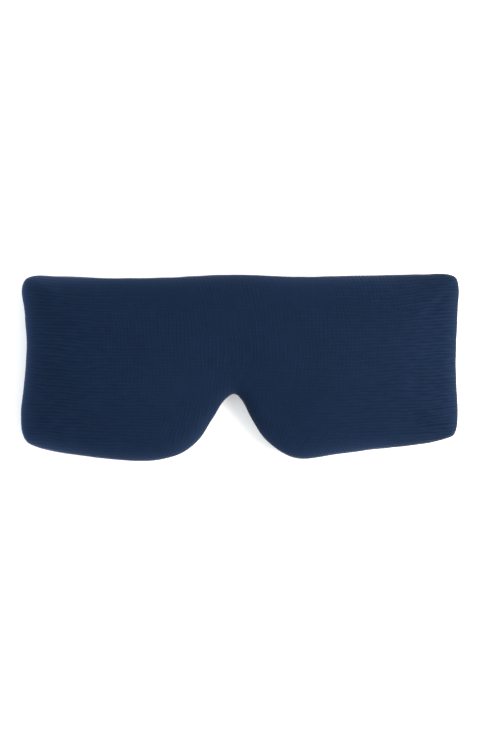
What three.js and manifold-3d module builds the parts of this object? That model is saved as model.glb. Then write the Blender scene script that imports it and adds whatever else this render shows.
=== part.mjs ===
// Sleep eye mask: a padded fabric front with a nose notch, and two elastic strap halves folded flat behind it.
// Millimetres. +Z is the mask's front, +Y its brow edge, +X to the right as seen from the front. The mask
// lies on its back, its straps between it and the surface at z = 0. Left and right are as seen from the front.
//
// Each strap half is sewn to the back cover by its root, runs inwards, and folds back outwards over itself.
// It opens by turning almost half a turn about the root fold while the second fold opens by the same angle,
// so it ends straight.

import * as THREE from "three";
import { mergeVertices } from "three/addons/utils/BufferGeometryUtils.js";
import Module from "manifold-3d";

const wasm = await Module();
wasm.setup();

// ---- Driving dimensions ----

// The outline of the finished edge, clockwise. Each corner is given by its middle point.
const TOP_LEFT_CORNER = [-105.4, 43.3];
const TOP_EDGE = [
  [-101.2, 45.1], [-90, 44.8], [-62, 43.9], [-34, 44.3], [-2, 45.6], [30, 44.6], [62, 45.2], [90, 45.7],
  [102.3, 45.8],
];
const TOP_RIGHT_CORNER = [105.8, 44.2];
const RIGHT_EDGE = [[107.2, 40.3], [106.7, 27], [106.1, 12], [105.9, -6], [106.7, -21], [106.3, -29.6]];
const BOTTOM_RIGHT_CORNER = [104.6, -33.4];
const RIGHT_LOBE = [[100.8, -35.2], [88, -37.9], [66, -40.3], [46, -42.9], [31, -44.9], [22, -42.7]];
const NOSE_NOTCH = [
  [12, -35], [5.2, -24.8], [1.2, -16.6], [-2.7, -13.1], [-7.6, -15.9], [-13.4, -24.9], [-21.2, -36.3],
];
const LEFT_LOBE = [[-30, -42.8], [-41, -45.5], [-54, -45.9], [-76, -43.7], [-92, -41.2], [-99.8, -39.2]];
const BOTTOM_LEFT_CORNER = [-104.6, -36.7];
const LEFT_EDGE = [[-107.1, -32], [-107.8, -22], [-106, -6], [-105, 10], [-105.9, 26], [-107.2, 38.9]];

const GAP = 0.3; // between pieces that touch
const THREAD = 0.3; // a flattened line of stitching
const STITCH_WIDTH = 0.9;

// Strap
const STRAP_WIDTH = 30;
const STRAP_Y = 6; // height of the strap's middle
const ELASTIC = 1.2; // thickness
const TAPE = 0.8; // thickness of the hook tape and of the loop tape
const TAPE_WIDTH = 27;
const ROOT_X = 103; // the root fold
const FOLD_X = 20; // the second fold
const TIP_X = 98; // the elastic's free end
const ANCHOR_LENGTH = 15; // what is sewn flat to the back cover
const LOOP_LENGTH = 60;
const HOOK_LENGTH = 42;
const TAPE_END_GAP = 2; // from the elastic's free end to the tape
const BINDING_LENGTH = 5; // bound tip, used as a pull tab
const BINDING_THICKNESS = 2;

// Heights in the folded stack, from the surface up
const LEFT_OUTER_Z = 0; // the left outer run lies on the surface
const RIGHT_OUTER_Z = TAPE + GAP; // the right one lies on its hook tape
const TAPE_STITCH_Z = RIGHT_OUTER_Z + ELASTIC + GAP;
const INNER_RUN_Z = TAPE_STITCH_Z + THREAD + GAP + 0.1;
const ANCHOR_STITCH_Z = INNER_RUN_Z + ELASTIC + GAP;
const ANCHOR_Z = ANCHOR_STITCH_Z + THREAD + GAP;
const BACK_Z = ANCHOR_Z + ELASTIC + GAP; // the back cover's skin side

// Pad
const SIDE_DROP = 3; // from the widest line of the edge down to the back
const SIDE_RISE = 5.5; // and up to where the crown starts
const BACK_ROUND = 3; // how far in from the edge the back turns flat
const FRONT_ROUND = 7; // how far in the front turns over
const CROWN = 4.5; // extra height where the filling swells most
const CROWN_FLATNESS = 0.8; // below 1, the swell is flatter on top than a soap film's
const EDGE_Z = BACK_Z + SIDE_DROP;
const COVER = 1.2; // thickness of the knitted cover
const COVER_SIDE = 1.5; // the same at the turned edge
const LINER = 0.6;
const LINER_INSET = COVER_SIDE + GAP;
const FOAM = 3;
const FOAM_INSET = 2.6;
const WADDING_INSET = 3.4;
const LIP = 2.4; // the front cover wraps this far round to the back, where the seam is
const SEAM_GROOVE = 1;
const SEAM_THREAD = 0.6; // depth of the line of thread in the groove

// Care label
const LABEL = { width: 14, length: 20, thickness: 0.3, x: 62, y: -37.8 }; // x, y: the middle of its sewn end

const COLOURS = {
  knit: 0x22375a,
  lining: 0x14161b,
  foam: 0xd9d6c8,
  wadding: 0xf1f0ec,
  thread: 0x1b2c4a,
  elastic: 0x1d2c47,
  tape: 0x182641,
  label: 0xe9e7e1,
};

// ---- Outline ----

const CONTROL = [
  TOP_LEFT_CORNER, ...TOP_EDGE, TOP_RIGHT_CORNER, ...RIGHT_EDGE, BOTTOM_RIGHT_CORNER,
  ...RIGHT_LOBE, ...NOSE_NOTCH, ...LEFT_LOBE, BOTTOM_LEFT_CORNER, ...LEFT_EDGE,
];
const OUTLINE = new THREE.CatmullRomCurve3(
  CONTROL.map(([x, y]) => new THREE.Vector3(x, y, 0)), true, "centripetal",
);
const SAMPLES_PER_SPAN = 12;
const EDGE_LINE = OUTLINE.getPoints(CONTROL.length * SAMPLES_PER_SPAN);

// Distance from a point inside the outline to the outline, less what the sampled outline cuts off its bends.
const SAMPLING_ERROR = 0.03;
function edgeDistance(x, y) {
  let best = Infinity;
  for (let i = 1; i < EDGE_LINE.length; i++) {
    const a = EDGE_LINE[i - 1];
    const b = EDGE_LINE[i];
    const dx = b.x - a.x;
    const dy = b.y - a.y;
    const t = THREE.MathUtils.clamp(((x - a.x) * dx + (y - a.y) * dy) / (dx * dx + dy * dy), 0, 1);
    best = Math.min(best, Math.hypot(x - a.x - t * dx, y - a.y - t * dy));
  }
  return Math.max(0, best - SAMPLING_ERROR);
}

function insideOutline(x, y) {
  let inside = false;
  for (let i = 1; i < EDGE_LINE.length; i++) {
    const a = EDGE_LINE[i - 1];
    const b = EDGE_LINE[i];
    if (a.y > y !== b.y > y && x < a.x + ((y - a.y) * (b.x - a.x)) / (b.y - a.y)) inside = !inside;
  }
  return inside;
}

// The filling's swell, from 0 at the outline to 1: a film held at the outline under even pressure, worked out
// on a grid of cells by averaging neighbours until it settles.
const CELL = 2;
const GRID = { x: -112, y: -50, columns: 113, rows: 51 };
const SWELL = settledFilm();
function settledFilm() {
  const height = Array.from({ length: GRID.columns }, () => new Float64Array(GRID.rows));
  const free = height.map((column, i) =>
    Array.from(column, (_, j) => insideOutline(GRID.x + i * CELL, GRID.y + j * CELL)));
  const overshoot = 1.9;
  for (let pass = 0; pass < 400; pass++)
    for (let i = 1; i < GRID.columns - 1; i++)
      for (let j = 1; j < GRID.rows - 1; j++) {
        if (!free[i][j]) continue;
        const around = height[i - 1][j] + height[i + 1][j] + height[i][j - 1] + height[i][j + 1];
        height[i][j] += overshoot * (around / 4 + 1 - height[i][j]);
      }
  const most = Math.max(...height.map((column) => Math.max(...column)));
  return height.map((column) => column.map((h) => h / most));
}

function crown(x, y) {
  const across = THREE.MathUtils.clamp((x - GRID.x) / CELL, 0, GRID.columns - 1.001);
  const up = THREE.MathUtils.clamp((y - GRID.y) / CELL, 0, GRID.rows - 1.001);
  const i = Math.floor(across);
  const j = Math.floor(up);
  const low = THREE.MathUtils.lerp(SWELL[i][j], SWELL[i + 1][j], across - i);
  const high = THREE.MathUtils.lerp(SWELL[i][j + 1], SWELL[i + 1][j + 1], across - i);
  return CROWN * THREE.MathUtils.lerp(low, high, up - j) ** CROWN_FLATNESS;
}

// A point of the outline, by its share of the control points passed, with its inward direction.
function outlinePoint(at) {
  const p = OUTLINE.getPoint(at % 1);
  const tangent = OUTLINE.getTangent(at % 1);
  return { at, x: p.x, y: p.y, inX: tangent.y, inY: -tangent.x };
}

// The stretch of outline from one control point to another.
function side(from, to) {
  const first = CONTROL.indexOf(from);
  const spans = (CONTROL.indexOf(to) - first + CONTROL.length) % CONTROL.length;
  const count = spans * SAMPLES_PER_SPAN + 1;
  return Array.from({ length: count }, (_, i) => outlinePoint((first + i / SAMPLES_PER_SPAN) / CONTROL.length));
}

// How far along a side each of its points is.
function lengths(points) {
  const along = [0];
  for (let i = 1; i < points.length; i++)
    along.push(along[i - 1] + Math.hypot(points[i].x - points[i - 1].x, points[i].y - points[i - 1].y));
  return along;
}

// The outline's point where a measure, which grows along the side's points, reaches a value.
function atMeasure(points, measure, value) {
  const i = Math.max(1, measure.findIndex((m) => m >= value - 1e-9));
  const t = THREE.MathUtils.clamp((value - measure[i - 1]) / (measure[i] - measure[i - 1]), 0, 1);
  return outlinePoint(points[i - 1].at + (points[i].at - points[i - 1].at) * t);
}

function atShare(points, share) {
  const along = lengths(points);
  return atMeasure(points, along, share * along.at(-1));
}

// Distances along a side: close together where the edge turns over at both ends, wider between.
const EDGE_STEPS = [0, 1, 2.8, 6.5];
const ROW_STEP = 18;
const POINTS_PER_SPAN = 3; // of the bottom edge

const BOTTOM_SIDE = side(BOTTOM_RIGHT_CORNER, BOTTOM_LEFT_CORNER).reverse();
const TOP_SIDE = side(TOP_LEFT_CORNER, TOP_RIGHT_CORNER);
const LEFT_SIDE = side(BOTTOM_LEFT_CORNER, TOP_LEFT_CORNER);
const RIGHT_SIDE = side(TOP_RIGHT_CORNER, BOTTOM_RIGHT_CORNER).reverse();

const BOTTOM_POINTS = bottomPoints();
const TOP_POINTS = topPoints();
const ROW_SHARES = rowShares(lengths(LEFT_SIDE).at(-1));
const LEFT_POINTS = ROW_SHARES.map((share) => atShare(LEFT_SIDE, share));
const RIGHT_POINTS = ROW_SHARES.map((share) => atShare(RIGHT_SIDE, share));

function rowShares(length) {
  const reach = EDGE_STEPS.at(-1);
  const inner = length - 2 * reach;
  const count = Math.ceil(inner / ROW_STEP);
  const middle = Array.from({ length: count - 1 }, (_, i) => reach + (inner * (i + 1)) / count);
  return [...EDGE_STEPS, ...middle, ...EDGE_STEPS.map((d) => length - d).reverse()].map((d) => d / length);
}

// The bottom edge keeps the spacing of the outline's own points between the ends, so the notch gets its share.
function bottomPoints() {
  const along = lengths(BOTTOM_SIDE);
  const total = along.at(-1);
  const reach = EDGE_STEPS.at(-1) + 2;
  const middle = BOTTOM_SIDE.filter((_, i) =>
    i % (SAMPLES_PER_SPAN / POINTS_PER_SPAN) === 0 && along[i] > reach && along[i] < total - reach);
  const left = EDGE_STEPS.map((d) => atShare(BOTTOM_SIDE, d / total));
  const right = EDGE_STEPS.map((d) => atShare(BOTTOM_SIDE, 1 - d / total)).reverse();
  return [...left, ...middle, ...right];
}

// Columns are upright: each top point has the x of its bottom point, stretched to meet the top corners.
function topPoints() {
  const [bottomLeft, bottomRight] = [BOTTOM_POINTS[0].x, BOTTOM_POINTS.at(-1).x];
  const [topLeft, topRight] = [TOP_SIDE[0].x, TOP_SIDE.at(-1).x];
  return BOTTOM_POINTS.map((p) => {
    const share = (p.x - bottomLeft) / (bottomRight - bottomLeft);
    return atMeasure(TOP_SIDE, TOP_SIDE.map((q) => q.x), topLeft + share * (topRight - topLeft));
  });
}

// A patch of points that fills the outline, drawn in from it by inset: patch[column][row].
function patch(inset) {
  const drawIn = (p) => [p.x + p.inX * inset, p.y + p.inY * inset];
  const sides = [BOTTOM_POINTS, TOP_POINTS, LEFT_POINTS, RIGHT_POINTS];
  const [bottom, top, left, right] = sides.map((points) => points.map(drawIn));
  return BOTTOM_POINTS.map((_, i) => {
    const u = (bottom[i][0] - bottom[0][0]) / (bottom.at(-1)[0] - bottom[0][0]);
    return ROW_SHARES.map((v, j) => [0, 1].map((axis) => {
      const upright = (1 - v) * bottom[i][axis] + v * top[i][axis];
      const across = (1 - u) * left[j][axis] + u * right[j][axis];
      const corners =
        (1 - v) * ((1 - u) * bottom[0][axis] + u * bottom.at(-1)[axis]) +
        v * ((1 - u) * top[0][axis] + u * top.at(-1)[axis]);
      return upright + across - corners;
    }));
  });
}

// The patch's border, anticlockwise, as [column, row] pairs.
function border() {
  const columns = BOTTOM_POINTS.length - 1;
  const rows = ROW_SHARES.length - 1;
  const pairs = [];
  for (let i = 0; i < columns; i++) pairs.push([i, 0]);
  for (let j = 0; j < rows; j++) pairs.push([columns, j]);
  for (let i = columns; i > 0; i--) pairs.push([i, rows]);
  for (let j = rows; j > 0; j--) pairs.push([0, j]);
  return pairs;
}

// ---- Pad surfaces: heights by distance from the outline, and by place where the filling swells ----

const quarterRound = (share) => Math.sqrt(1 - (1 - Math.min(1, share)) ** 2);
const frontZ = (d, x, y) => EDGE_Z + (SIDE_RISE + crown(x, y)) * quarterRound(d / FRONT_ROUND);
const backZ = (d) => EDGE_Z - SIDE_DROP * quarterRound(d / BACK_ROUND);

// A closed geometry between two heights over the patch. Heights are functions of the distance from the outline
// and of x and y, and a bottom given as a number is one flat face.
function pad(inset, topZ, bottomZ) {
  const points = patch(inset);
  const rows = ROW_SHARES.length;
  const flat = typeof bottomZ === "number";
  const top = points.flat().map(([x, y]) => [x, y, topZ(edgeDistance(x, y), x, y)]);
  const bottom = points.flat().map(([x, y]) => [x, y, flat ? bottomZ : bottomZ(edgeDistance(x, y), x, y)]);
  const count = top.length;
  const faces = [];
  for (let i = 0; i + 1 < points.length; i++)
    for (let j = 0; j + 1 < rows; j++) {
      const [a, b, c, d] = [i * rows + j, (i + 1) * rows + j, (i + 1) * rows + j + 1, i * rows + j + 1];
      faces.push(a, b, c, a, c, d);
      if (!flat) faces.push(count + a, count + c, count + b, count + a, count + d, count + c);
    }
  const ring = border().map(([i, j]) => i * rows + j);
  if (flat) {
    const loop = ring.map((k) => new THREE.Vector2(bottom[k][0], bottom[k][1]));
    for (const [a, b, c] of THREE.ShapeUtils.triangulateShape(loop, []))
      faces.push(count + ring[a], count + ring[c], count + ring[b]);
  }
  if (top[ring[0]][2] - bottom[ring[0]][2] > GAP / 2)
    ring.forEach((a, k) => {
      const b = ring[(k + 1) % ring.length];
      faces.push(count + a, count + b, b, count + a, b, a);
    });
  const geometry = new THREE.BufferGeometry();
  geometry.setAttribute("position", new THREE.Float32BufferAttribute([...top, ...bottom].flat(), 3));
  geometry.setIndex(faces);
  return geometry;
}

// The outline drawn in by inset, as a flat plate.
function plate(inset, low, high) {
  const points = patch(inset);
  const shape = new THREE.Shape(border().map(([i, j]) => new THREE.Vector2(...points[i][j])));
  const geometry = new THREE.ExtrudeGeometry(shape, { depth: high - low, bevelEnabled: false });
  return geometry.translate(0, 0, low);
}

// ---- Solids ----

function toSolid(geometry) {
  const bare = geometry.clone();
  bare.deleteAttribute("normal");
  bare.deleteAttribute("uv");
  const merged = mergeVertices(bare, 1e-3);
  const kept = [];
  for (let i = 0; i < merged.index.count; i += 3) {
    const [a, b, c] = [0, 1, 2].map((k) => merged.index.getX(i + k));
    if (a !== b && b !== c && a !== c) kept.push(a, b, c);
  }
  return new wasm.Manifold(new wasm.Mesh({
    numProp: 3,
    vertProperties: new Float32Array(merged.attributes.position.array),
    triVerts: new Uint32Array(kept),
  }));
}

function toGeometry(solid) {
  const mesh = solid.getMesh();
  const geometry = new THREE.BufferGeometry();
  geometry.setAttribute("position", new THREE.BufferAttribute(mesh.vertProperties, 3));
  geometry.setIndex(new THREE.BufferAttribute(mesh.triVerts, 1));
  return geometry;
}

function piece(name, geometry, color, roughness = 0.9) {
  const mesh = new THREE.Mesh(geometry, new THREE.MeshStandardMaterial({ color, roughness, metalness: 0 }));
  mesh.geometry.computeVertexNormals();
  mesh.name = name;
  return mesh;
}

// ---- The pad ----

// The front panel: a thin bowl that turns round the edge and ends in a lip on the back.
function frontCover() {
  const outside = toSolid(pad(0, frontZ, backZ));
  const inside = toSolid(pad(COVER_SIDE, (...at) => frontZ(...at) - COVER, BACK_Z + COVER + 0.1));
  const mouth = toSolid(plate(LIP, BACK_Z - SIDE_DROP, BACK_Z + COVER + 1));
  return piece("front_cover", toGeometry(outside.subtract(inside).subtract(mouth)), COLOURS.knit);
}

function backCover() {
  return piece("back_cover", plate(LIP + SEAM_GROOVE, BACK_Z, BACK_Z + COVER - 0.1), COLOURS.knit);
}

// The thread that closes the seam between the two covers, all round in the groove on the back.
function seamThread() {
  const loop = (inset) => {
    const points = patch(inset);
    return border().map(([i, j]) => new THREE.Vector2(...points[i][j]));
  };
  const ring = new THREE.Shape(loop(LIP + GAP));
  ring.holes.push(new THREE.Path(loop(LIP + SEAM_GROOVE - GAP)));
  const geometry = new THREE.ExtrudeGeometry(ring, { depth: SEAM_THREAD, bevelEnabled: false });
  return piece("seam_thread", geometry.translate(0, 0, BACK_Z + GAP), COLOURS.thread);
}

function blackoutLiner() {
  const top = COVER + GAP;
  const geometry = pad(LINER_INSET, (...at) => frontZ(...at) - top, (...at) => frontZ(...at) - top - LINER);
  return piece("blackout_liner", geometry, COLOURS.lining, 0.8);
}

const FOAM_Z = BACK_Z + COVER + 0.2;

function foamCore() {
  return piece("foam_core", plate(FOAM_INSET, FOAM_Z, FOAM_Z + FOAM), COLOURS.foam, 0.95);
}

function fibreWadding() {
  const top = COVER + LINER + 3 * GAP;
  const geometry = pad(WADDING_INSET, (...at) => frontZ(...at) - top, FOAM_Z + FOAM + GAP);
  return piece("fibre_wadding", geometry, COLOURS.wadding, 1);
}

// A small label sewn in at the seam, lying on the back cover.
function careLabel() {
  const geometry = new THREE.BoxGeometry(LABEL.width, LABEL.length, LABEL.thickness);
  const label = piece("care_label", geometry, COLOURS.label, 0.5);
  label.position.set(LABEL.x, LABEL.y + LABEL.length / 2, BACK_Z - GAP - LABEL.thickness / 2);
  return label;
}

// ---- The strap halves ----

// A flat strip along X with rounded long edges, from low x to high x, its underside at z.
function strip(lowX, highX, width, thickness, z) {
  const half = width / 2 - thickness / 2;
  const r = thickness / 2;
  const section = new THREE.Shape();
  section.absarc(0, half, r, 0, Math.PI);
  section.absarc(0, -half, r, Math.PI, 2 * Math.PI);
  const geometry = new THREE.ExtrudeGeometry(section, {
    depth: highX - lowX, bevelEnabled: false, curveSegments: 4,
  });
  // The section is drawn in X (up) and Y, and pulled along Z: turn it so that it is pulled along X.
  geometry.rotateY(Math.PI / 2);
  return geometry.translate(lowX, 0, z + r);
}

// A rectangle of stitching, with or without its diagonals, centred on the origin.
function stitchGeometry(length, width, crossed) {
  const loop = (points) => points.map(([x, y]) => new THREE.Vector2(x, y));
  const [x, y] = [length / 2, width / 2];
  const [ix, iy] = [x - STITCH_WIDTH, y - STITCH_WIDTH];
  const shape = new THREE.Shape(loop([[-x, -y], [x, -y], [x, y], [-x, y]]));
  if (crossed) {
    // Four triangles stay open between the diagonals, each drawn back from them.
    const cx = (STITCH_WIDTH * Math.hypot(ix, iy)) / (2 * iy);
    const cy = (STITCH_WIDTH * Math.hypot(ix, iy)) / (2 * ix);
    for (const s of [-1, 1]) {
      shape.holes.push(new THREE.Path(loop([[-ix + cx, s * iy], [ix - cx, s * iy], [0, s * cy]])));
      shape.holes.push(new THREE.Path(loop([[s * ix, -iy + cy], [s * ix, iy - cy], [s * cx, 0]])));
    }
  } else {
    shape.holes.push(new THREE.Path(loop([[-ix, -iy], [-ix, iy], [ix, iy], [ix, -iy]])));
  }
  return new THREE.ExtrudeGeometry(shape, { depth: THREAD, bevelEnabled: false });
}

function stitching(name, x, z, length, width, crossed) {
  const mesh = piece(name, stitchGeometry(length, width, crossed), COLOURS.thread);
  mesh.position.set(x, 0, z);
  return mesh;
}

// A strip given by its distances from the middle of the mask, on the side that sign names.
function sideStrip(name, sign, nearX, farX, width, thickness, z, color) {
  const [low, high] = sign < 0 ? [-farX, -nearX] : [nearX, farX];
  return piece(name, strip(low, high, width, thickness, z), color);
}

// One strap half, folded: the anchor sewn to the back cover, the inner run and the outer run. Its fastener
// tape is on the outer run: loop tape faces the inner run, hook tape faces the surface.
function strapHalf(word, sign) {
  const group = new THREE.Group();
  group.position.y = STRAP_Y;
  const hooked = sign > 0;
  const outerZ = hooked ? RIGHT_OUTER_Z : LEFT_OUTER_Z;
  const elastic = (part, near, far, z) =>
    sideStrip(`strap_${word}_${part}`, sign, near, far, STRAP_WIDTH, ELASTIC, z, COLOURS.elastic);
  group.add(elastic("anchor", ROOT_X - ANCHOR_LENGTH, ROOT_X - GAP, ANCHOR_Z));
  group.add(elastic("inner_run", FOLD_X + GAP, ROOT_X - GAP, INNER_RUN_Z));
  group.add(elastic("outer_run", FOLD_X + GAP, TIP_X, outerZ));

  const bindingZ = outerZ + ELASTIC / 2 - BINDING_THICKNESS / 2;
  group.add(sideStrip(
    `end_binding_${word}`, sign, TIP_X + GAP, TIP_X + GAP + BINDING_LENGTH, STRAP_WIDTH, BINDING_THICKNESS,
    Math.max(0, bindingZ), COLOURS.tape,
  ));

  const anchorMiddle = sign * (ROOT_X - ANCHOR_LENGTH / 2 - 0.5);
  group.add(stitching(
    `anchor_stitching_${word}`, anchorMiddle, ANCHOR_STITCH_Z, ANCHOR_LENGTH - 4, STRAP_WIDTH - 5, true,
  ));

  const length = hooked ? HOOK_LENGTH : LOOP_LENGTH;
  const tapeName = hooked ? "hook_tape" : "loop_tape";
  const tapeZ = hooked ? 0 : ELASTIC + GAP;
  const far = TIP_X - TAPE_END_GAP;
  group.add(sideStrip(tapeName, sign, far - length, far, TAPE_WIDTH, TAPE, tapeZ, COLOURS.tape));
  group.add(stitching(
    `${tapeName}_stitching`, sign * (far - length / 2), TAPE_STITCH_Z, length - 3, TAPE_WIDTH - 3, false,
  ));
  return group;
}

// ---- Assembly ----

const mask = new THREE.Group();
mask.add(frontCover(), backCover(), seamThread(), blackoutLiner(), foamCore(), fibreWadding(), careLabel());
mask.add(strapHalf("left", -1), strapHalf("right", 1));

export default mask;
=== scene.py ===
"""A padded sleep mask lying on its folded straps, seen from straight above in soft studio light.

Lengths are millimetres, as in the CAD source, until put() scales them; lights and camera are in metres.
Left and right are as seen from the front. The "cloth" UV map holds millimetres, for the weaves.
"""

import math
import random

import bpy
import numpy as np
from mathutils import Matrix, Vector, noise
from mathutils.bvhtree import BVHTree


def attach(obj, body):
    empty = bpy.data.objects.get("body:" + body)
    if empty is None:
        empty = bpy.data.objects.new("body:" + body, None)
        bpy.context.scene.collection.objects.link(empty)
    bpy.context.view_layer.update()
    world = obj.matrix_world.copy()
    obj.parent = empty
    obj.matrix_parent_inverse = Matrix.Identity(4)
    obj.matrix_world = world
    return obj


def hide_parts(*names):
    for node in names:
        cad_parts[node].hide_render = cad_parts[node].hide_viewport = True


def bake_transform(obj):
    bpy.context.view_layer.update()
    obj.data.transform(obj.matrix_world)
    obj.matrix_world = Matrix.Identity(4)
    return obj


MM = 0.001
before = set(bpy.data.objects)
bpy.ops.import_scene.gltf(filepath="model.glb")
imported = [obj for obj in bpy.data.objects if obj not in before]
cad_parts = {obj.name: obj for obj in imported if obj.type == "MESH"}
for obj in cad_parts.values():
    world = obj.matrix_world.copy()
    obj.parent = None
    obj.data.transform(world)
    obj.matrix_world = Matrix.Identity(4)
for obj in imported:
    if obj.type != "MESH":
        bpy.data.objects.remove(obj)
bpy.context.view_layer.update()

# ---------------- dimensions shared with the CAD source

TOP_LEFT_CORNER = (-105.4, 43.3)
TOP_EDGE = [
    (-101.2, 45.1), (-90, 44.8), (-62, 43.9), (-34, 44.3), (-2, 45.6), (30, 44.6), (62, 45.2), (90, 45.7),
    (102.3, 45.8),
]
TOP_RIGHT_CORNER = (105.8, 44.2)
RIGHT_EDGE = [(107.2, 40.3), (106.7, 27), (106.1, 12), (105.9, -6), (106.7, -21), (106.3, -29.6)]
BOTTOM_RIGHT_CORNER = (104.6, -33.4)
RIGHT_LOBE = [(100.8, -35.2), (88, -37.9), (66, -40.3), (46, -42.9), (31, -44.9), (22, -42.7)]
NOSE_NOTCH = [
    (12, -35), (5.2, -24.8), (1.2, -16.6), (-2.7, -13.1), (-7.6, -15.9), (-13.4, -24.9), (-21.2, -36.3),
]
LEFT_LOBE = [(-30, -42.8), (-41, -45.5), (-54, -45.9), (-76, -43.7), (-92, -41.2), (-99.8, -39.2)]
BOTTOM_LEFT_CORNER = (-104.6, -36.7)
LEFT_EDGE = [(-107.1, -32), (-107.8, -22), (-106, -6), (-105, 10), (-105.9, 26), (-107.2, 38.9)]
NOTCH_TIP = (-2.7, -13.1)

BACK_Z = 6.9  # the skin side
EDGE_Z = 9.9  # the widest line of the edge
SIDE_DROP = 3.0
SIDE_RISE = 5.5
FRONT_ROUND = 7.0
CROWN = 4.5
CROWN_FLATNESS = 0.8
SEAM_INSET = 2.9  # the closing seam's distance inside the edge, on the back

STRAP_Y = 6.0
STRAP_WIDTH = 30.0
TAPE_WIDTH = 27.0
ROOT_X = 103.0
FOLD_X = 20.0
RUN_JOIN_X = 61.0  # where the two pieces of each inner run meet

# ---------------- dimensions of the drawn layers

FRONT_THICKNESS = 1.0
BACK_THICKNESS = 0.9
LINER_DEPTH = 1.6  # under the front panel
LINER_THICKNESS = 0.35
WADDING_DEPTH = 2.9
FOAM_LOW = BACK_Z + 1.4
FOAM_THICKNESS = 2.8
WADDING_LOW = FOAM_LOW + 3.2
ELASTIC_THICKNESS = 1.1
ELASTIC_RIB = 0.1
BINDING_THICKNESS = 0.42
LABEL_X = 62
STITCH_SPACING = 2.5
HOOK_PITCH = 1.3
LOOP_PITCH = 0.42
LOOP_COUNT = 1100

# ---------------- outline of the pad

CONTROL = [
    TOP_LEFT_CORNER, *TOP_EDGE, TOP_RIGHT_CORNER, *RIGHT_EDGE, BOTTOM_RIGHT_CORNER,
    *RIGHT_LOBE, *NOSE_NOTCH, *LEFT_LOBE, BOTTOM_LEFT_CORNER, *LEFT_EDGE,
]
POINTS = np.array(CONTROL, float)


def distances_along(line):
    """The distance along a polyline at each of its points."""
    return np.concatenate([[0], np.cumsum(np.linalg.norm(np.diff(line, axis=0), axis=1))])


def outline_at(at):
    """Points of the closed centripetal Catmull-Rom outline at control positions, and their inward normals."""
    at = np.asarray(at, float)
    n = len(POINTS)
    i = np.floor(at).astype(int)
    t = (at - i)[:, None]
    p0, p1, p2, p3 = (POINTS[(i + k) % n] for k in (-1, 0, 1, 2))
    pairs = ((p0, p1), (p1, p2), (p2, p3))
    d0, d1, d2 = (np.sqrt(np.linalg.norm(b - a, axis=1))[:, None] for a, b in pairs)
    m1 = ((p1 - p0) / d0 - (p2 - p0) / (d0 + d1) + (p2 - p1) / d1) * d1
    m2 = ((p2 - p1) / d1 - (p3 - p1) / (d1 + d2) + (p3 - p2) / d2) * d1
    a, b = 2 * p1 - 2 * p2 + m1 + m2, -3 * p1 + 3 * p2 - 2 * m1 - m2
    point = ((a * t + b) * t + m1) * t + p1
    tangent = (3 * a * t + 2 * b) * t + m1
    tangent /= np.linalg.norm(tangent, axis=1)[:, None]
    return point, np.stack([tangent[:, 1], -tangent[:, 0]], 1)


OUTLINE = outline_at(np.arange(0, len(CONTROL), 1 / 16))[0]


def edge_distance(xy):
    """How far inside the outline each point is."""
    a, b = OUTLINE, np.roll(OUTLINE, -1, 0)
    ab = b - a
    best = np.full(len(xy), 1e9)
    for k in range(len(a)):
        t = np.clip(((xy - a[k]) @ ab[k]) / (ab[k] @ ab[k]), 0, 1)
        best = np.minimum(best, np.linalg.norm(xy - a[k] - t[:, None] * ab[k], axis=1))
    return best


class Side:
    """The stretch of outline between two control points, in order of growing x or y."""

    def __init__(self, first, last, backwards):
        a, b = CONTROL.index(first), CONTROL.index(last)
        b += len(CONTROL) if b < a else 0
        self.at = np.linspace(a, b, (b - a) * 16 + 1)[:: -1 if backwards else 1]
        self.points = outline_at(self.at % len(CONTROL))[0]
        self.along = distances_along(self.points)
        self.length = self.along[-1]

    def by_length(self, values):
        return outline_at(np.interp(values, self.along, self.at) % len(CONTROL))

    def by_x(self, values):
        return outline_at(np.interp(values, self.points[:, 0], self.at) % len(CONTROL))


BOTTOM = Side(BOTTOM_RIGHT_CORNER, BOTTOM_LEFT_CORNER, True)
TOP = Side(TOP_LEFT_CORNER, TOP_RIGHT_CORNER, False)
LEFT = Side(BOTTOM_LEFT_CORNER, TOP_LEFT_CORNER, False)
RIGHT = Side(TOP_RIGHT_CORNER, BOTTOM_RIGHT_CORNER, True)


def stations(length, ends, step):
    """Distances along a side: those in ends at both of its ends, and even steps between."""
    reach = ends[-1]
    count = int(math.ceil((length - 2 * reach) / step))
    middle = reach + (length - 2 * reach) * np.arange(1, count) / count
    return np.concatenate([ends, middle, length - np.array(ends)[::-1]])


def grid_quads(k):
    """Quads over a grid of vertex indices, facing up."""
    return np.stack([k[:-1, :-1], k[1:, :-1], k[1:, 1:], k[:-1, 1:]], -1).reshape(-1, 4)


def grid_ring(k):
    """The vertex indices round a grid's border, anticlockwise."""
    return np.concatenate([k[:-1, 0], k[-1, :-1], k[:0:-1, -1], k[0, :0:-1]])


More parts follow.
